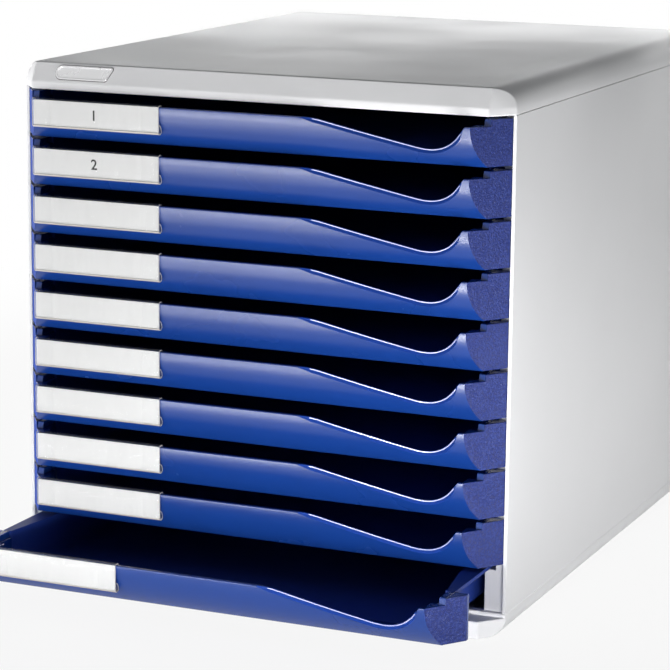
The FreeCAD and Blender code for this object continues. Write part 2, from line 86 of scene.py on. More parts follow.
def plastic(name, colour, shade, roughness, grain, clouds, depth, specular,
            stretch=(1, 1, 1), edge=0.5):
    """Moulded plastic: its colour drifts to another shade of itself with a cloud, its
    roughness varies with the same cloud, and a fine grain lifts the surface by depth
    metres. Grain and clouds are counted per metre. A stretch below one draws them out
    along that axis, and a small edge parts the two shades sharply."""
    material = bpy.data.materials.new(name)
    material.use_nodes = True
    nodes, links = material.node_tree.nodes, material.node_tree.links
    shader = nodes["Principled BSDF"]
    place = nodes.new("ShaderNodeTexCoord")
    skin = nodes.new("ShaderNodeGroup")
    skin.node_tree = PLASTIC_SKIN
    skin.inputs["Grain per metre"].default_value = grain
    skin.inputs["Clouds per metre"].default_value = clouds
    drawn = nodes.new("ShaderNodeVectorMath")
    drawn.operation = "MULTIPLY"
    drawn.inputs[1].default_value = stretch
    links.new(place.outputs["Object"], drawn.inputs[0])
    links.new(drawn.outputs[0], skin.inputs["Place"])
    tone = nodes.new("ShaderNodeMix")
    tone.data_type = "RGBA"
    tone.inputs["A"].default_value = (*colour, 1)
    tone.inputs["B"].default_value = (*np.multiply(colour, shade), 1)
    parted = nodes.new("ShaderNodeMapRange")
    parted.interpolation_type = "SMOOTHSTEP"
    parted.inputs["From Min"].default_value = 0.5 - edge
    parted.inputs["From Max"].default_value = 0.5 + edge
    links.new(skin.outputs["Cloud"], parted.inputs["Value"])
    links.new(parted.outputs["Result"], tone.inputs["Factor"])
    links.new(tone.outputs["Result"], shader.inputs["Base Color"])
    gloss = nodes.new("ShaderNodeMapRange")
    gloss.interpolation_type = "SMOOTHSTEP"
    gloss.inputs["From Min"].default_value = 0.3
    gloss.inputs["From Max"].default_value = 0.7
    gloss.inputs["To Min"].default_value = roughness[0]
    gloss.inputs["To Max"].default_value = roughness[1]
    links.new(skin.outputs["Cloud"], gloss.inputs["Value"])
    links.new(gloss.outputs["Result"], shader.inputs["Roughness"])
    bump = nodes.new("ShaderNodeBump")
    bump.inputs["Distance"].default_value = depth
    links.new(skin.outputs["Grain"], bump.inputs["Height"])
    links.new(bump.outputs["Normal"], shader.inputs["Normal"])
    shader.inputs["Specular IOR Level"].default_value = specular
    return material


def piece(name, points, faces, body, materials, nodes=(), smooth=35):
    """New mesh from points in metres and faces as lists of point numbers; edges
    sharper than smooth degrees stay sharp. It rides on body and replaces nodes."""
    mesh = bpy.data.meshes.new(name)
    mesh.from_pydata(np.asarray(points, float).tolist(), [], faces)
    made = bpy.data.objects.new(name, mesh)
    bpy.context.scene.collection.objects.link(made)
    for material in materials:
        mesh.materials.append(material)
    mesh.shade_smooth()
    mesh.set_sharp_from_angle(angle=math.radians(smooth))
    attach(made, body)
    if nodes:
        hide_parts(*nodes)
    return made


def rounded_edges(made, radius, angle, segments=3):
    """Rounds every edge sharper than angle degrees."""
    bevel = made.modifiers.new("rounded edges", "BEVEL")
    bevel.width = radius
    bevel.segments = segments
    bevel.limit_method = "ANGLE"
    bevel.angle_limit = math.radians(angle)
    bevel.use_clamp_overlap = False
    bevel.harden_normals = True


def moulded(node, body, material, radius, angle=22):
    """Copy of a CAD node with its loose triangles joined, its flat faces made whole
    and its edges rounded."""
    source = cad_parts[node].data
    places = np.empty(len(source.vertices) * 3)
    source.vertices.foreach_get("co", places)
    corners = np.empty(len(source.loops), int)
    source.loops.foreach_get("vertex_index", corners)
    keys = np.round(places.reshape(-1, 3) * MICRONS_PER_METRE).astype(np.int64)
    _, first, welded = np.unique(keys, axis=0, return_index=True, return_inverse=True)
    triangles = welded.reshape(-1)[corners].reshape(-1, 3)
    whole = ((triangles[:, 0] != triangles[:, 1]) & (triangles[:, 1] != triangles[:, 2])
             & (triangles[:, 2] != triangles[:, 0]))
    made = piece(node + "_moulding", places.reshape(-1, 3)[first], triangles[whole].tolist(),
                 body, [material], [node])
    joined = bmesh.new()
    joined.from_mesh(made.data)
    bmesh.ops.dissolve_limit(joined, angle_limit=FLAT_WITHIN, verts=joined.verts,
                             edges=joined.edges)
    joined.to_mesh(made.data)
    joined.free()
    made.data.set_sharp_from_angle(angle=SHARP_FROM)
    rounded_edges(made, radius, angle)


housing_plastic = plastic("housing plastic", HOUSING_GREY, shade=0.96, roughness=(0.5, 0.6),
                          grain=2600, clouds=9, depth=0.00002, specular=0.15)
for node, (radius, angle) in HOUSING_EDGES.items():
    moulded(node, "housing", housing_plastic, radius, angle)

# Pads: four soft black rubber discs pressed flush into the underside, which keep the
# unit from sliding and from scratching the desk.
FOOT_EDGE = 0.0002
foot_rubber = plastic("foot rubber", (0.02, 0.02, 0.022), shade=0.7, roughness=(0.75, 0.9),
                      grain=1500, clouds=60, depth=0.00008, specular=0.3)
for place in ("front_left", "front_right", "rear_left", "rear_right"):
    moulded("rubber_foot_" + place, "housing", foot_rubber, FOOT_EDGE)

# Plate on the cover's brow: a small pressed plate with a raised border and a plain
# field, satin silver, glued on at the left. Its right end is slanted.
PLATE_LEFT, PLATE_WIDTH, PLATE_HEIGHT, PLATE_SLANT = -118.0, 35.0, 8.0, 4.0
PLATE_CORNERS = np.array([3.6, 1.8, 1.2, 3.6])
CORNER_STEPS = 9
# Steps inward from the plate's edge and out from the brow. A dark ring of painted
# shadow round the plate takes the first bands.
PLATE_PROFILE = (
    (-0.3, -0.05), (-0.3, 0.06), (0, 0.06), (0, 0.45), (0.15, 0.68), (0.4, 0.78),
    (0.7, 0.78), (0.9, 0.7), (1.05, 0.5), (1.25, 0.42), (1.9, 0.42))
PAINTED_SHADOW_BANDS = 3
# The leaning brow: height of the lip below it, how far it leans back, and the cover's
# own height, lower edge and half depth.
BROW_LIP, BROW_LEAN, COVER_HEIGHT, COVER_LOW = 4.0, 5.0, 14.5, 275.5
HALF_DEPTH = 177.5


def ring_faces(rings, around):
    """Four-sided faces between closed rings that lie one after the other, each with the
    same number of points around."""
    first = np.arange(rings - 1)[:, None] * around
    step = np.arange(around)[None, :]
    after = (step + 1) % around
    corners = [first + step, first + after, first + around + after, first + around + step]
    return np.stack(corners, -1).reshape(-1, 4).tolist()


def rounded_outline(corners, radius, steps):
    """Closed outline round straight-sided corners, each corner an arc of its own radius:
    the arc's middle lies on the corner's bisector, radius / sin(half angle) away."""
    corners = np.asarray(corners, float)
    before = np.roll(corners, 1, 0) - corners
    behind = np.roll(corners, -1, 0) - corners
    before /= np.linalg.norm(before, axis=1)[:, None]
    behind /= np.linalg.norm(behind, axis=1)[:, None]
    half = np.arccos(np.sum(before * behind, 1)) / 2
    middle = before + behind
    middle /= np.linalg.norm(middle, axis=1)[:, None]
    middle = corners + middle * (radius / np.sin(half))[:, None]
    start = corners + before * (radius / np.tan(half))[:, None] - middle
    end = corners + behind * (radius / np.tan(half))[:, None] - middle
    share = np.linspace(0, 1, steps)[None, :, None]
    arc = start[:, None] * (1 - share) + end[:, None] * share
    arc *= radius[:, None, None] / np.linalg.norm(arc, axis=2)[:, :, None]
    return (middle[:, None] + arc).reshape(-1, 2)


brow_length = math.hypot(BROW_LEAN, COVER_HEIGHT - BROW_LIP)
sine, cosine = BROW_LEAN / brow_length, (COVER_HEIGHT - BROW_LIP) / brow_length
plate_low = (brow_length - PLATE_HEIGHT) / 2
plate_edge = rounded_outline([
    (PLATE_LEFT, plate_low), (PLATE_LEFT + PLATE_WIDTH - PLATE_SLANT, plate_low),
    (PLATE_LEFT + PLATE_WIDTH, plate_low + PLATE_HEIGHT),
    (PLATE_LEFT, plate_low + PLATE_HEIGHT)], PLATE_CORNERS, CORNER_STEPS)
plate_centre = plate_edge.mean(0)
plate_rings = []
for inward, proud in PLATE_PROFILE:
    shrunk = 1 - inward / (np.array([PLATE_WIDTH, PLATE_HEIGHT]) / 2)
    across, along = (plate_centre + (plate_edge - plate_centre) * shrunk).T
    plate_rings.append(np.stack([
        across,
        -HALF_DEPTH + along * sine - proud * cosine,
        COVER_LOW + BROW_LIP + along * cosine + proud * sine], -1))
plate_points = np.concatenate(plate_rings) / 1000
plate_faces = ring_faces(len(plate_rings), len(plate_edge))
plate_faces.append(list(range(len(plate_points) - len(plate_edge), len(plate_points))))
plate_faces.append(list(range(len(plate_edge)))[::-1])
plate_satin = plastic("plate satin", (0.74, 0.74, 0.75), shade=0.9, roughness=(0.25, 0.35),
                      grain=3000, clouds=60, depth=0.000005, specular=0.5)
plate_satin.node_tree.nodes["Principled BSDF"].inputs["Metallic"].default_value = 0.6
# Dark grey painted shadow on the flat ring and the low side wall round the plate.
plate_painted_shadow = plastic("plate painted shadow", (0.22, 0.21, 0.21), shade=0.8, roughness=(0.5, 0.6),
                      grain=1500, clouds=60, depth=0.00001, specular=0.2)
made = piece("badge_plate_pressed", plate_points, plate_faces, "housing",
             [plate_satin, plate_painted_shadow], ["badge_plate"], smooth=30)
# Faces of the first bands get the painted shadow.
in_painted_shadow = [face[0] < PAINTED_SHADOW_BANDS * len(plate_edge) and len(face) == 4 for face in plate_faces]
made.data.polygons.foreach_set("material_index", np.array(in_painted_shadow, np.int32))

# Drawer fronts: the glossy blue face of each drawer bulges forward like a drop. Its
# upper edge runs level over the label and then dips in a wave for the fingers, along
# which it has a matt band and a pale line of painted highlight. Face and tray are one moulding.
DRAWER_BLUE = (0.006, 0.038, 0.215)
DRAWERS = 10
DRAWER_PITCH, FIRST_LOW, PULLED_OUT = 26.4, 249.7, 51.5
# The bulge: how far it comes forward, its height, the lower edge's depth, the wall.
BULGE, FRONT_HEIGHT, SETBACK, WALL = 9.2, 21.0, 0.5, 2.2
BEND = (BULGE ** 2 + FRONT_HEIGHT ** 2) / (2 * BULGE)
BEND_CENTRE = SETBACK - BULGE + BEND
# The slanted cut at each end, the solid block behind it and the tray's floor.
CUT_START, END_FACE, CUT_DEPTH = 131.7, 140.3, 12.0
CUT_SLOPE = CUT_DEPTH / (END_FACE - CUT_START)
BLOCK_REAR, BLOCK_TOP, FLOOR_TOP = 15.2, 24.4, 3.2
# The wave: level up to its start, crest arc, slope, low arc, rising arc, steep rise.
WAVE_START, CREST_RADIUS, WAVE_SLOPE = 32.0, 56.0, math.radians(11.95)
LOW_X, LOW_Z, LOW_RADIUS = 101.6, 8.2, 31.0
RISE_RADIUS, RISE_SLOPE = 20.75, math.radians(49.7)
PEAK_START, PEAK_LEFT, PEAK = 119.6, 122.1, 125.1
# The edge: its corners are averaged over this length to each side, and it is rounded
# over the label and, less, at the ends. The lower edge has a radius too.
SOFTENED, EDGE_ROUND, END_ROUND, FOOT_ROUND = 0.7, 0.5, 0.08, 0.7
# The rim along the wave: leaning band, upright line, small turn, and where the rim
# and its line of painted highlight begin and fade.
RIM_LEAN, RIM_BAND, RIM_LINE, RIM_TURN = math.radians(30), 1.5, 0.5, 0.25
RIM_RISE_START, RIM_RISE, RIM_FALL, PAINTED_HIGHLIGHT_START = 31.0, 8.0, 1.6, 38.0
# Points of one side section: along the foot, the bulge, the rim and the inner side.
FOOT_STEPS, BULGE_STEPS, RIM_STEPS, INNER_STEPS = 5, 26, 10, 12
# Side sections: from, to and how many, closest together where the outline bends.
FACE_STATIONS = (
    (-131.65, -126.2, 24), (-125.9, -PEAK, 5), (-124, 30, 24), (30.6, 117.8, 170),
    (118, PEAK_LEFT - 0.1, 24), (PEAK_LEFT, PEAK, 16), (125.3, 131.65, 26))


def drawer_place(number):
    """Where a drawer's own zero lies: the housing's front edge and its own lower edge."""
    out = PULLED_OUT if number == DRAWERS else 0.0
    return np.array([0.0, -HALF_DEPTH - out, FIRST_LOW - (number - 1) * DRAWER_PITCH])


def bulge_depth(height, inset=0.0):
    """Depth of the bulging face at a height: a circle that is upright at the upper edge.
    An inset gives the face of a smaller circle inside it."""
    return BEND_CENTRE - np.sqrt((BEND - inset) ** 2 - (FRONT_HEIGHT - height) ** 2)


def wave_height(x):
    """Height of the upper edge: level, a crest arc, a straight slope, a low arc, a
    tighter rising arc and a steep straight rise to the peak. Arcs and straights join
    where they have the same slope."""
    crest_x = WAVE_START + CREST_RADIUS * math.sin(WAVE_SLOPE)
    crest_z = FRONT_HEIGHT - CREST_RADIUS * (1 - math.cos(WAVE_SLOPE))
    slope_x = LOW_X - LOW_RADIUS * math.sin(WAVE_SLOPE)
    slope_z = LOW_Z + LOW_RADIUS * (1 - math.cos(WAVE_SLOPE))
    rise_x = LOW_X + RISE_RADIUS * math.sin(RISE_SLOPE)
    rise_z = LOW_Z + RISE_RADIUS * (1 - math.cos(RISE_SLOPE))

    def arc(radius, middle_x):
        """Half height of a circle at x, or none beyond its ends."""
        return np.sqrt(np.maximum(radius ** 2 - (x - middle_x) ** 2, 0))

    return np.select(
        [x < WAVE_START, x < crest_x, x < slope_x, x < LOW_X, x < rise_x],
        [np.full_like(x, FRONT_HEIGHT),
         FRONT_HEIGHT - CREST_RADIUS + arc(CREST_RADIUS, WAVE_START),
         crest_z + (x - crest_x) / (slope_x - crest_x) * (slope_z - crest_z),
         LOW_Z + LOW_RADIUS - arc(LOW_RADIUS, LOW_X),
         LOW_Z + RISE_RADIUS - arc(RISE_RADIUS, LOW_X)],
        np.minimum(rise_z + (x - rise_x) * math.tan(RISE_SLOPE), FRONT_HEIGHT))


def crease_height(x):
    """Height at which the bulging face meets the flat slanted end."""
    depth = SETBACK + (np.abs(x) - CUT_START) * CUT_SLOPE
    return FRONT_HEIGHT - np.sqrt(np.maximum(BEND ** 2 - (BEND_CENTRE - depth) ** 2, 0))


def rim_steps():
    """The rim in side view, as steps back and up from the crease: along the wave a flat
    band that leans back, an upright line and a small turn; elsewhere a quarter arc."""
    turn = np.linspace(0, np.pi / 2, 5)[1:]
    band = np.linspace(0, RIM_BAND, 4)[1:]
    line = RIM_BAND + np.linspace(0, RIM_LINE, 4)[1:]
    back = np.concatenate([band, 0 * line + RIM_BAND]) * math.tan(RIM_LEAN)
    back = np.concatenate([back, back[-1] + RIM_TURN * (1 - np.cos(turn))])
    up = np.concatenate([band, line, line[-1] + RIM_TURN * np.sin(turn)])
    arc = np.linspace(0, np.pi / 2, RIM_STEPS + 1)[1:]
    return back, up, 1 - np.cos(arc), np.sin(arc)


def edge_height(x):
    """The wave with its corners averaged over a short length, which shrinks towards the
    peak, and cut down beside the peak to where the bulge meets the slanted end."""
    near = np.linspace(-SOFTENED, SOFTENED, 9)[:, None] * np.clip((120 - x) / 5, 0.1, 1)
    top = wave_height(x[None, :] + near).mean(0)
    return np.where(np.abs(x) > PEAK, np.minimum(top, crease_height(x)), top)


def front_points():
    """The face as closed side sections, one after the other from left to right. Each
    runs along the lower edge's small rounding, up the bulge, over the rim, down the
    inner side and back along the floor. Where the rim begins and ends, its steps are
    blended with a plain quarter arc, and they are stretched where the wave is steep."""
    x = np.concatenate([np.linspace(*stretch) for stretch in FACE_STATIONS])
    top = edge_height(x)
    steep = np.sqrt(1 + np.gradient(top, x) ** 2)
    rolled = (np.clip((x - RIM_RISE_START) / RIM_RISE, 0, 1)
              - np.clip((x - PEAK_START) / RIM_FALL, 0, 1))[:, None]
    rounding = np.where(np.abs(x) > PEAK - 0.3, END_ROUND, EDGE_ROUND)
    rounding = np.minimum(rounding, top / 5)[:, None]
    rim_back, rim_up, arc_back, arc_up = rim_steps()
    back = rolled * rim_back + (1 - rolled) * rounding * arc_back
    up = rolled * rim_up + (1 - rolled) * rounding * arc_up
    up = up * np.where(rolled > 0, steep[:, None], 1)
    foot = np.minimum(FOOT_ROUND, top / 5)[:, None]
    top = top[:, None]
    foot_angle = np.arcsin((FRONT_HEIGHT - foot) / (BEND - foot))
    turn = np.linspace(0, 1, FOOT_STEPS)[None, :]
    angle = 1.5 * np.pi + turn * (foot_angle - 0.5 * np.pi)
    foot_y = BEND_CENTRE - (BEND - foot) * np.cos(foot_angle) + foot * np.cos(angle)
    foot_z = foot + foot * np.sin(angle)
    rim_foot = top - up[:, -1:]
    rim_angle = np.arcsin((FRONT_HEIGHT - rim_foot) / BEND)
    climb = foot_angle + (rim_angle - foot_angle) * np.linspace(0, 1, BULGE_STEPS)[None, 1:]
    face_y = BEND_CENTRE - BEND * np.cos(climb)
    face_z = FRONT_HEIGHT - BEND * np.sin(climb)
    rim_y = face_y[:, -1:] + back
    rim_z = rim_foot + up
    floor = np.minimum(FLOOR_TOP, 0.8 * top)
    inner_z = top + (floor - top) * np.linspace(0, 1, INNER_STEPS)[None, :]
    inner_y = np.maximum(bulge_depth(inner_z, WALL), rim_y[:, -1:] + 0.05)
    end = np.ones_like(top) * BLOCK_REAR
    y = np.concatenate([end, foot_y, face_y, rim_y, inner_y, end], 1)
    z = np.concatenate([0 * top, foot_z, face_z, rim_z, inner_z, floor], 1)
    points = np.stack([np.broadcast_to(x[:, None], y.shape), y, z], -1)
    return points[:, ::-1]


drawer_gloss = plastic("drawer gloss", DRAWER_BLUE, shade=0.85, roughness=(0.24, 0.28),
                       grain=1100, clouds=22, depth=0.00005, specular=0.5)
rim_matt = plastic("rim matt", (0.012, 0.05, 0.30), shade=0.85, roughness=(0.5, 0.6),
                   grain=1100, clouds=22, depth=0.00002, specular=0.08)
# Pale lavender on the rim's upright line: a painted highlight, not a polish.
rim_painted_highlight = plastic("rim painted highlight", (0.50, 0.52, 0.80), shade=0.9, roughness=(0.15, 0.2),
                     grain=1100, clouds=22, depth=0.00001, specular=0.6)
face_grid = front_points()
face_rings, face_around = face_grid.shape[:2]
face_quads = ring_faces(face_rings, face_around)
along = (face_grid[1:, 0, 0] + face_grid[:-1, 0, 0]) / 2
rim_bands = slice(INNER_STEPS + 1, INNER_STEPS + 1 + RIM_STEPS)
painted_highlight_bands = slice(INNER_STEPS + 5, INNER_STEPS + 8)
face_materials = np.zeros((face_rings - 1, face_around), np.int32)
# The upright line of the rim gets the painted highlight colour; the band beside it is matt.
face_materials[(along > WAVE_START) & (along < PEAK_START + 1), rim_bands] = 2
face_materials[(along > PAINTED_HIGHLIGHT_START) & (along < PEAK_START), painted_highlight_bands] = 1
face_materials = np.append(face_materials.reshape(-1), [0, 0]).astype(np.int32)
face_quads.append(list(range(face_around))[::-1])
face_quads.append(list(range((face_rings - 1) * face_around, face_rings * face_around)))
for number in range(1, DRAWERS + 1):
    made = piece(f"drawer_face_{number:02d}", (face_grid.reshape(-1, 3) + drawer_place(number)) / 1000,
                 face_quads, f"drawer_{number:02d}", [drawer_gloss, rim_painted_highlight, rim_matt],
                 [f"drawer_tray_{number:02d}"], smooth=18)
    made.data.polygons.foreach_set("material_index", face_materials)

# Ends of the drawer fronts: solid corners with a flat slanted face, grained like
# leather so that fingers grip it. A step at the top carries on into the tray's rim.
# On the right ends the lighter blue specks in the grain are painted glints. The left
# ends get a brighter blue copy that hardly reflects, painted for how light falls on that side.
# Lighter tone of the right ends' grain; its specks are painted glints.
GRAINED_BLUE_AND_GLINT = (0.027, 0.046, 0.215)
END_EDGE = 0.0005
RIM_EDGE, WIDE_INSIDE, NARROW_INSIDE, SHOULDER = 132.5, 127.2, 124.0, 2.6
# The small upright inside each end: inner side, front, the slope of its front and foot.
NUB_INSIDE, NUB_START, NUB_SLOPE, NUB_FOOT = 128.6, 1.5, 1.5, 19.0
# How many outlines are stacked below the top one, and the last step up to it, which is
# larger than the edge's rounding.
BLOCK_STEPS, TOP_STEP = 29, 0.9
# How far a side lies inside its neighbour's, so that the two never share a plane.
HIDDEN = 0.02


def end_block(side):
    """One end as plan outlines stacked in height. One corner follows the bulge, so the
    crease between bulge and flat face bends as they meet. Above the front the outline
    draws back to the rim's edge, and a small upright stands inside it."""
    height = np.append(np.linspace(0, FRONT_HEIGHT - TOP_STEP, BLOCK_STEPS), FRONT_HEIGHT)
    depth = bulge_depth(height)
    crease = CUT_START + (depth - SETBACK) / CUT_SLOPE
    step_depth = SETBACK + (RIM_EDGE - CUT_START) * CUT_SLOPE
    corners = (
        (WIDE_INSIDE, BLOCK_REAR), (WIDE_INSIDE, SHOULDER), (NARROW_INSIDE, SHOULDER),
        (NARROW_INSIDE, depth + 0.3), (crease, depth), (RIM_EDGE, step_depth),
        (END_FACE, SETBACK + CUT_DEPTH), (END_FACE, BLOCK_REAR))
    plan = np.stack([np.stack(np.broadcast_arrays(x, y, height), -1) for x, y in corners], 1)
    narrow = np.array([
        (RIM_EDGE, BLOCK_REAR), (RIM_EDGE, 8), (RIM_EDGE, SHOULDER), (RIM_EDGE, 2.2),
        (RIM_EDGE, step_depth), (RIM_EDGE, step_depth),
        (END_FACE, SETBACK + CUT_DEPTH), (END_FACE, BLOCK_REAR)])
    around = len(narrow)
    upper = np.array([
        np.column_stack([narrow, np.full(around, z)]) for z in (FRONT_HEIGHT, BLOCK_TOP)])
    rings = np.concatenate([plan, upper])
    faces = ring_faces(len(rings), around)
    faces.append(list(range(around))[::-1])
    faces.append(list(range((len(rings) - 1) * around, len(rings) * around)))
    points = rings.reshape(-1, 3)
    nub = box_points(NUB_INSIDE, RIM_EDGE - HIDDEN, NUB_START, BLOCK_REAR - 0.03,
                     NUB_FOOT, BLOCK_TOP - HIDDEN)
    nub[[1, 5], 1] += NUB_SLOPE
    faces += (np.array(BOX_FACES) + len(points)).tolist()
    points = np.concatenate([points, nub])
    points = points * (side, 1, 1)
    if side < 0:
        faces = [face[::-1] for face in faces]
    return points, faces


BOX_FACES = [[0, 2, 3, 1], [4, 5, 7, 6], [0, 1, 5, 4], [2, 6, 7, 3], [0, 4, 6, 2], [1, 3, 7, 5]]


def box_points(x0, x1, y0, y1, z0, z1):
    """Corners of a block, in the order that BOX_FACES uses."""
    return np.array([(x, y, z) for x in (x0, x1) for y in (y0, y1) for z in (z0, z1)], float)


def edges_with_crease(made, radius):
    """Joins the doubled points and rounds the sharp edges, except the crease between
    the grained flat and the rest, which the bulging face closes."""
    joined = bmesh.new()
    joined.from_mesh(made.data)
    bmesh.ops.remove_doubles(joined, verts=joined.verts, dist=1e-6)
    bmesh.ops.dissolve_limit(joined, angle_limit=math.radians(0.5), verts=joined.verts,
                             edges=joined.edges, delimit={"MATERIAL"})
    weight = joined.edges.layers.float.new("bevel_weight_edge")
    for edge in joined.edges:
        flat, other = (edge.link_faces[0], edge.link_faces[-1])
        crease = flat.material_index != other.material_index and flat.normal.dot(other.normal) > 0.2
        edge[weight] = float(edge.calc_face_angle(0) > math.radians(25) and not crease)
    joined.to_mesh(made.data)
    joined.free()
    bevel = made.modifiers.new("rounded edges", "BEVEL")
    bevel.width = radius
    bevel.segments = 3
    bevel.limit_method = "WEIGHT"
    bevel.use_clamp_overlap = False
    bevel.harden_normals = True


# Right ends: mottle of painted glints, lighter specks parted sharply from a darker blue.
drawer_grained_painted_glints = plastic("drawer grained", GRAINED_BLUE_AND_GLINT, shade=(0.4, 0.46, 0.62), roughness=(0.2, 0.3),
                         grain=1000, clouds=800, depth=0.0005, specular=0.2, edge=0.13)
# Left ends: a brighter, almost unreflecting copy of the same blue, painted light for the side seen at
# a grazing angle.
grained_left_painted_light = plastic("drawer grained left painted light", (0.02, 0.06, 0.33), shade=1.3, roughness=(0.6, 0.7),
                       grain=1000, clouds=900, depth=0.0004, specular=0.04)
for number in range(1, DRAWERS + 1):
    for side, word, grained in ((-1, "left", grained_left_painted_light), (1, "right", drawer_grained_painted_glints)):
        points, faces = end_block(side)
        made = piece(f"drawer_end_{word}_{number:02d}", (points + drawer_place(number)) / 1000,
                     faces, f"drawer_{number:02d}", [drawer_gloss, grained],
                     [f"drawer_tray_{number:02d}"], smooth=30)
        normals = np.empty(len(made.data.polygons) * 3)
        made.data.polygons.foreach_get("normal", normals)
        slant = np.array([side * CUT_DEPTH, CUT_START - END_FACE, 0])
        slant /= np.linalg.norm(slant)
        on_slant = normals.reshape(-1, 3) @ slant > 0.99
        made.data.polygons.foreach_set("material_index", on_slant.astype(np.int32))
        edges_with_crease(made, END_EDGE)

# Trays: floor, side walls and rear wall of each drawer. Behind its front the tray
# gets narrower, and a flat rim turned outwards runs in the side panels' slots. A
# small catch at the rim's rear end meets a stop when the drawer is pulled out.
TRAY_LOW, TRAY_ROUND, TRAY_WALL = 1.2, 6.0, 1.8
WIDE, NARROW = 129.0, 124.0
TRAY_STEP, TRAY_REAR, RIM_THICK = 48.0, 335.0, 2.0
CATCH_WIDTH, CATCH_LENGTH = 2.5, 8.0
TRAY_EDGE, TRAY_SHARP = 0.0003, 40
# The rear wall's lower edge, and how far it and the catches lie inside the outline.
REAR_LOW, SKIN = 2.0, 0.05


def tray_outline(outside):
    """Cross-section of the tray as a closed outline: quarter arcs between floor and
    walls, outside and inside, and the rim turned outwards at the top."""
    turn = np.linspace(0, np.pi / 2, 7)
    inner = TRAY_ROUND - TRAY_WALL
    inside = outside - TRAY_WALL
    right = np.concatenate([
        np.stack([outside - TRAY_ROUND + TRAY_ROUND * np.sin(turn),
                  TRAY_LOW + TRAY_ROUND - TRAY_ROUND * np.cos(turn)], -1),
        [(outside, BLOCK_TOP - RIM_THICK), (RIM_EDGE, BLOCK_TOP - RIM_THICK),
         (RIM_EDGE, BLOCK_TOP), (inside, BLOCK_TOP)],
        np.stack([inside - inner + inner * np.cos(turn),
                  FLOOR_TOP + inner - inner * np.sin(turn)], -1)])
    left = right[::-1] * (-1, 1)
    return np.concatenate([right, left])


# The tray tapers from wide to narrow between its second and third section.
tray_sections = (
    (BLOCK_REAR - 0.2, WIDE), (BLOCK_REAR + 3, WIDE), (TRAY_STEP - 0.1, NARROW), (TRAY_REAR, NARROW))
tray_grid = np.array([
    np.stack([outline[:, 0], np.full(len(outline), y), outline[:, 1]], -1)
    for y, outline in ((y, tray_outline(outside)) for y, outside in tray_sections)])
tray_rings, tray_around = tray_grid.shape[:2]
tray_faces = [face[::-1] for face in ring_faces(tray_rings, tray_around)]
tray_faces.append(list(range(tray_around)))
tray_faces.append(list(range((tray_rings - 1) * tray_around, tray_rings * tray_around))[::-1])
tray_points = tray_grid.reshape(-1, 3)
catch = (TRAY_REAR - CATCH_LENGTH, TRAY_REAR, BLOCK_TOP - RIM_THICK + SKIN, BLOCK_TOP - SKIN)
for block in (
        (-NARROW + 1, NARROW - 1, TRAY_REAR - TRAY_WALL, TRAY_REAR - SKIN, REAR_LOW, BLOCK_TOP - SKIN),
        (RIM_EDGE - CATCH_WIDTH, RIM_EDGE + CATCH_WIDTH, *catch),
        (-RIM_EDGE - CATCH_WIDTH, -RIM_EDGE + CATCH_WIDTH, *catch)):
    tray_faces += (np.array(BOX_FACES) + len(tray_points)).tolist()
    tray_points = np.concatenate([tray_points, box_points(*block)])
drawer_inside = plastic("drawer inside", (0.018, 0.045, 0.26), shade=0.8, roughness=(0.4, 0.5),
                        grain=1500, clouds=18, depth=0.00002, specular=0.12)
for number in range(1, DRAWERS + 1):
    made = piece(f"drawer_pan_{number:02d}", (tray_points + drawer_place(number)) / 1000,
                 tray_faces, f"drawer_{number:02d}", [drawer_inside],
                 [f"drawer_tray_{number:02d}"])
    rounded_edges(made, TRAY_EDGE, TRAY_SHARP, segments=2)

# Label holders: a clear extruded profile that hooks over the front's upper edge. Its
# lower edge curls back into a narrow trough that rests against the bulge. Curled edges
# and cut ends show darker than the flat wall: the curls carry a painted beige shade for
# light bent in the clear plastic, and the cut ends a paler painted cream highlight where they catch
# the light.
LABEL_LEFT, LABEL_WIDTH = -126.2, 76.2
HOLDER_WALL, HOLDER_SHOULDER, CURL_TOP = 0.55, 0.75, 7.1
# The profile's middle line as depth and height: hook, upright wall, and the curl that
# turns under the card and back up to the bulge.
HOLDER_PATH = np.array([
    (-6.12, 19.9), (-6.12, 21.45), (-6.5, 21.68), (-9.0, 21.68), (-9.32, 21.45), (-9.4, 21.0),
    (-9.4, 8.0), (-9.33, 7.45), (-9.0, 6.95), (-8.45, 6.6), (-7.8, 6.5), (-7.1, 6.62),
    (-6.5, 6.95), (-6.15, 7.55), (-6.2, 8.3), (-6.42, 9.1), (-6.8, 9.9), (-7.3, 10.6),
    (-7.95, 11.15), (-8.6, 11.5)])


def ribbon_outline(path, thickness):
    """Closed outline of a thin wall: the path moved half a thickness to each side."""
    way = np.gradient(path, axis=0)
    way /= np.linalg.norm(way, axis=1)[:, None]
    aside = np.stack([-way[:, 1], way[:, 0]], -1) * np.reshape(thickness, (-1, 1)) / 2
    return np.concatenate([path + aside, (path - aside)[::-1]])


def extruded(outline, left, right):
    """A side outline carried straight across from left to right, closed at both ends."""
    count = len(outline)
    ends = [np.column_stack([np.full(count, x), outline]) for x in (left, right)]
    faces = ring_faces(2, count)
    faces.append(list(range(count))[::-1])
    faces.append(list(range(count, 2 * count)))
    return np.concatenate(ends), faces


holder_clear = plastic("holder clear", (0.93, 0.94, 0.95), shade=0.98, roughness=(0.06, 0.1),
                       grain=300, clouds=30, depth=0.000004, specular=0.2)
holder_clear.node_tree.nodes["Principled BSDF"].inputs["Alpha"].default_value = 0.06
# Painted beige shade on the curled edges of the clear plastic.
holder_edge_painted_shade = plastic("holder edge painted shade", (0.60, 0.56, 0.52), shade=0.8, roughness=(0.15, 0.25),
                      grain=900, clouds=80, depth=0.00001, specular=0.5)
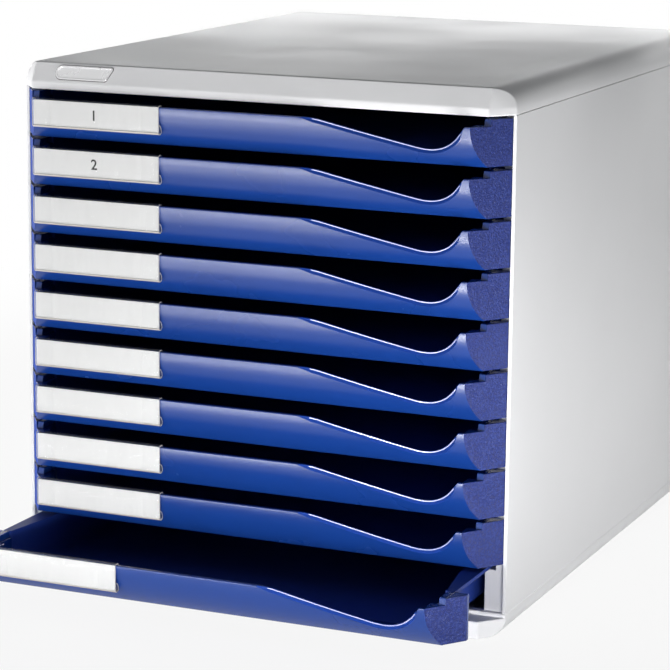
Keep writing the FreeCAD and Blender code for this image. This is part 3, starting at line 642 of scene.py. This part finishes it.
# Painted cream highlight on the cut ends.
holder_cut_painted_highlight = plastic("holder cut end painted highlight", (0.80, 0.77, 0.72), shade=0.7, roughness=(0.4, 0.5),
                     grain=1500, clouds=700, depth=0.00003, specular=0.4)
thickness = np.full(len(HOLDER_PATH), HOLDER_WALL)
thickness[5:7] = HOLDER_SHOULDER
holder_outline = ribbon_outline(HOLDER_PATH, thickness)
holder_points, holder_faces = extruded(holder_outline, LABEL_LEFT, LABEL_LEFT + LABEL_WIDTH)
strip_height = (holder_outline[:, 1] + np.roll(holder_outline, -1, 0)[:, 1]) / 2
holder_materials = np.append(strip_height < CURL_TOP, [2, 2]).astype(np.int32)
for number in range(1, DRAWERS + 1):
    made = piece(f"label_clip_{number:02d}", (holder_points + drawer_place(number)) / 1000,
                 holder_faces, f"drawer_{number:02d}", [holder_clear, holder_edge_painted_shade, holder_cut_painted_highlight],
                 [f"label_holder_{number:02d}"], smooth=50)
    made.data.polygons.foreach_set("material_index", holder_materials)

# Cards: a strip of white paper behind each holder's wall. The first two carry a plain
# printed number.
CARD_DEPTH, CARD_THICK, CARD_LOW, CARD_HEIGHT = -9.0, 0.25, 7.1, 14.0
CARD_PLAY, CARD_ROUND, CARD_BOW = 0.4, 0.5, 0.06
CARD_WIDTH = LABEL_WIDTH - 2 * CARD_PLAY
DIGIT_X, DIGIT_SIZE, DIGIT_WEIGHT, DIGIT_PROUD = -89.0, 0.0078, 0.00013, 0.02
card_paper = plastic("card paper", (0.62, 0.62, 0.615), shade=0.93, roughness=(0.75, 0.85), grain=1500,
                     clouds=500, depth=0.00001, specular=0.2, stretch=(1, 1, 0.12))
ink = plastic("printing ink", (0.012, 0.012, 0.012), shade=0.8, roughness=(0.6, 0.7), grain=3000,
              clouds=50, depth=0.000002, specular=0.2)


def card_points():
    """The card as upright sections from left to right. It bows forward along a sine, and
    its height shrinks along an arc at both ends, which rounds the corners."""
    corner = CARD_ROUND * (1 - np.cos(np.linspace(0, np.pi / 2, 6)))
    middle = np.linspace(CARD_ROUND, CARD_WIDTH - CARD_ROUND, 20)[1:-1]
    x = np.concatenate([corner, middle, CARD_WIDTH - corner[::-1]])
    aside = np.maximum(CARD_ROUND - np.minimum(x, x[-1] - x), 0)
    cut = CARD_ROUND - np.sqrt(CARD_ROUND ** 2 - aside ** 2)
    depth = CARD_DEPTH - CARD_BOW * np.sin(np.pi * x / x[-1])
    low, high = CARD_LOW + cut, CARD_LOW + CARD_HEIGHT - cut
    section = [(depth, low), (depth, high), (depth + CARD_THICK, high), (depth + CARD_THICK, low)]
    return np.stack([np.stack([LABEL_LEFT + CARD_PLAY + x, y, z], -1) for y, z in section], 1)


card_grid = card_points()
card_rings, card_around = card_grid.shape[:2]
card_faces = [face[::-1] for face in ring_faces(card_rings, card_around)]
card_faces.append(list(range(card_around)))
card_faces.append(list(range((card_rings - 1) * card_around, card_rings * card_around))[::-1])
for number in range(1, DRAWERS + 1):
    piece(f"card_strip_{number:02d}", (card_grid.reshape(-1, 3) + drawer_place(number)) / 1000,
          card_faces, f"drawer_{number:02d}", [card_paper], [f"label_card_{number:02d}"])


def printed_number(text, number):
    """A digit of the built-in letter shapes as a flat mesh on the card's front face."""
    letters = bpy.data.curves.new("digits", "FONT")
    letters.body = text
    letters.size = DIGIT_SIZE
    letters.offset = DIGIT_WEIGHT
    letters.align_x = "CENTER"
    letters.align_y = "CENTER"
    shape = bpy.data.objects.new("digits", letters)
    bpy.context.scene.collection.objects.link(shape)
    bpy.context.view_layer.update()
    flat = bpy.data.meshes.new_from_object(shape.evaluated_get(bpy.context.evaluated_depsgraph_get()))
    places = np.empty(len(flat.vertices) * 3)
    flat.vertices.foreach_get("co", places)
    places = places.reshape(-1, 3)
    faces = [list(face.vertices) for face in flat.polygons]
    bpy.data.objects.remove(shape)
    bpy.data.meshes.remove(flat)
    face_depth = CARD_DEPTH - CARD_BOW - DIGIT_PROUD
    centre = drawer_place(number) + (DIGIT_X, face_depth, CARD_LOW + CARD_HEIGHT / 2)
    points = np.stack([places[:, 0], 0 * places[:, 0], places[:, 1]], -1) + centre / 1000
    piece(f"card_number_{number:02d}", points, faces, f"drawer_{number:02d}", [ink])


printed_number("1", 1)
printed_number("2", 2)

# Studio: a wide pale floor that fades into a white surrounding. Lamps that lie on it or
# stand low in front and at the right light the object as a bright table does, two more
# light its left side and its back, and a narrow strip behind lights the cover's rear.
# None of them shows to the camera.
WHITE = (1.0, 1.0, 1.0)
FLOOR_SIDE, FLOOR_FRONT, FLOOR_REAR, FLOOR_LOW = 9.0, -9.0, 14.0, -0.0003
SHADE_NEAR, SHADE_FAR, SHADE_LOW = 0.35, 0.9, 0.9
WORLD_COLOUR, WORLD_STRENGTH = (0.9, 0.95, 1.0), 0.085
TABLE_LIGHT_HEIGHT = 0.004


def shown_white(owner, shader_type, share=None):
    """Mixes plain white into what the camera, mirrors and clear plastic see of a
    material or world. The share is one, or the given output."""
    nodes, links = owner.node_tree.nodes, owner.node_tree.links
    output = next(node for node in nodes if node.type.startswith("OUTPUT"))
    lit = output.inputs["Surface"].links[0].from_socket
    seen = nodes.new("ShaderNodeLightPath")
    part = seen.outputs["Is Camera Ray"]
    for name in ("Is Glossy Ray", "Is Transmission Ray"):
        larger = nodes.new("ShaderNodeMath")
        larger.operation = "MAXIMUM"
        links.new(part, larger.inputs[0])
        links.new(seen.outputs[name], larger.inputs[1])
        part = larger.outputs[0]
    if share:
        weighed = nodes.new("ShaderNodeMath")
        weighed.operation = "MULTIPLY"
        links.new(part, weighed.inputs[0])
        links.new(share, weighed.inputs[1])
        part = weighed.outputs[0]
    white = nodes.new(shader_type)
    white.inputs["Color"].default_value = (*WHITE, 1)
    mixed = nodes.new("ShaderNodeMixShader")
    links.new(part, mixed.inputs[0])
    links.new(lit, mixed.inputs[1])
    links.new(white.outputs[0], mixed.inputs[2])
    links.new(mixed.outputs[0], output.inputs["Surface"])


def far_from_middle(material, near, far, low):
    """Output that climbs from low to one between two distances from the middle."""
    nodes, links = material.node_tree.nodes, material.node_tree.links
    place = nodes.new("ShaderNodeTexCoord")
    reach = nodes.new("ShaderNodeVectorMath")
    reach.operation = "LENGTH"
    links.new(place.outputs["Object"], reach.inputs[0])
    climb = nodes.new("ShaderNodeMapRange")
    climb.interpolation_type = "SMOOTHSTEP"
    climb.inputs["From Min"].default_value = near
    climb.inputs["From Max"].default_value = far
    climb.inputs["To Min"].default_value = low
    links.new(reach.outputs["Value"], climb.inputs["Value"])
    return climb.outputs["Result"]


floor_mesh = bpy.data.meshes.new("floor")
floor_mesh.from_pydata([
    (-FLOOR_SIDE, FLOOR_FRONT, FLOOR_LOW), (FLOOR_SIDE, FLOOR_FRONT, FLOOR_LOW),
    (FLOOR_SIDE, FLOOR_REAR, FLOOR_LOW), (-FLOOR_SIDE, FLOOR_REAR, FLOOR_LOW)], [], [(0, 1, 2, 3)])
floor = bpy.data.objects.new("floor", floor_mesh)
bpy.context.scene.collection.objects.link(floor)
floor_paint = plastic("floor paint", (0.82, 0.82, 0.82), shade=0.99, roughness=(0.9, 1.0),
                      grain=40, clouds=2, depth=0.00001, specular=0.0)
floor_mesh.materials.append(floor_paint)
shown_white(floor_paint, "ShaderNodeEmission",
            far_from_middle(floor_paint, SHADE_NEAR, SHADE_FAR, SHADE_LOW))

world = bpy.data.worlds.new("surrounding")
bpy.context.scene.world = world
world.use_nodes = True
background = world.node_tree.nodes["Background"]
background.inputs["Color"].default_value = (*WORLD_COLOUR, 1)
background.inputs["Strength"].default_value = WORLD_STRENGTH
shown_white(world, "ShaderNodeBackground")


def soft_box(name, place, target, width, height, power, spread=180):
    """A rectangular lamp that faces a point and that the camera doesn't see. A spread
    below 180 degrees keeps its light near its own direction."""
    lamp = bpy.data.lights.new(name, "AREA")
    lamp.shape = "RECTANGLE"
    lamp.size = width
    lamp.size_y = height
    lamp.energy = power
    lamp.spread = math.radians(spread)
    made = bpy.data.objects.new(name, lamp)
    made.location = place
    made.rotation_euler = (Vector(target) - Vector(place)).to_track_quat("-Z", "Y").to_euler()
    made.visible_camera = False
    bpy.context.scene.collection.objects.link(made)


def table_light(name, x, y, width, depth, power):
    """A lamp that lies on the floor and shines up."""
    soft_box(name, (x, y, TABLE_LIGHT_HEIGHT), (x, y, 1), width, depth, power)


table_light("near table light", -0.14, -0.47, 0.6, 0.14, 0.3)
table_light("middle table light", -0.40, -0.95, 0.7, 0.36, 10.5)
table_light("far table light", -0.85, -1.9, 1.2, 1.0, 27)
table_light("corner table light", 0.36, -0.42, 0.2, 0.2, 2.5)
soft_box("front bar", (-0.22, -0.55, 0.02), (0, -0.18, 0.06), 0.5, 0.03, 0.38)
soft_box("short bar", (0.0, -0.55, 0.02), (0.12, -0.18, 0.1), 0.08, 0.03, 0.5)
soft_box("close bar", (-0.12, -0.44, 0.02), (-0.03, -0.18, 0.07), 0.5, 0.03, 0.07, 60)
soft_box("closest bar", (-0.09, -0.36, 0.015), (-0.03, -0.18, 0.05), 0.45, 0.02, 0.02, 60)
soft_box("corner bar", (0.42, -0.62, 0.03), (0.13, -0.17, 0.03), 0.3, 0.04, 0.2, 60)
soft_box("side bar", (0.6, -0.05, 0.05), (0.14, 0, 0.05), 0.5, 0.06, 0.2, 70)
soft_box("rear strip", (-0.05, 0.40, 0.36), (0, 0.1, 0.29), 0.8, 0.04, 1.36)
soft_box("left softbox", (-1.2, 0.15, 0.15), (0, 0.05, 0.12), 0.5, 0.25, 7)
soft_box("back softbox", (0.1, 1.5, 0.12), (0, 0.18, 0.12), 0.8, 0.2, 3)

# Camera: fitted to marks on the photograph. It looks down from the front right and is
# rolled by half a degree. Its focal length is counted in pixels of the photograph.
PHOTO_WIDTH_PX, FOCAL_PX, SENSOR = 670, 2693, 36.0
CAMERA_PLACE = (0.5975, -1.4476, 0.4452)
CAMERA_DOWN, CAMERA_ASIDE, CAMERA_ROLL = 11.82, 23.37, 0.589
lens = bpy.data.cameras.new("camera")
lens.sensor_width = SENSOR
lens.lens = FOCAL_PX * SENSOR / PHOTO_WIDTH_PX
lens.clip_end = 60
camera = bpy.data.objects.new("camera", lens)
turn = Euler((math.radians(90 - CAMERA_DOWN), 0, math.radians(CAMERA_ASIDE))).to_matrix()
turn = turn @ Matrix.Rotation(math.radians(CAMERA_ROLL), 3, "Z")
camera.matrix_world = Matrix.Translation(CAMERA_PLACE) @ turn.to_4x4()
bpy.context.scene.collection.objects.link(camera)
bpy.context.scene.camera = camera
bpy.context.scene.view_settings.view_transform = "Standard"
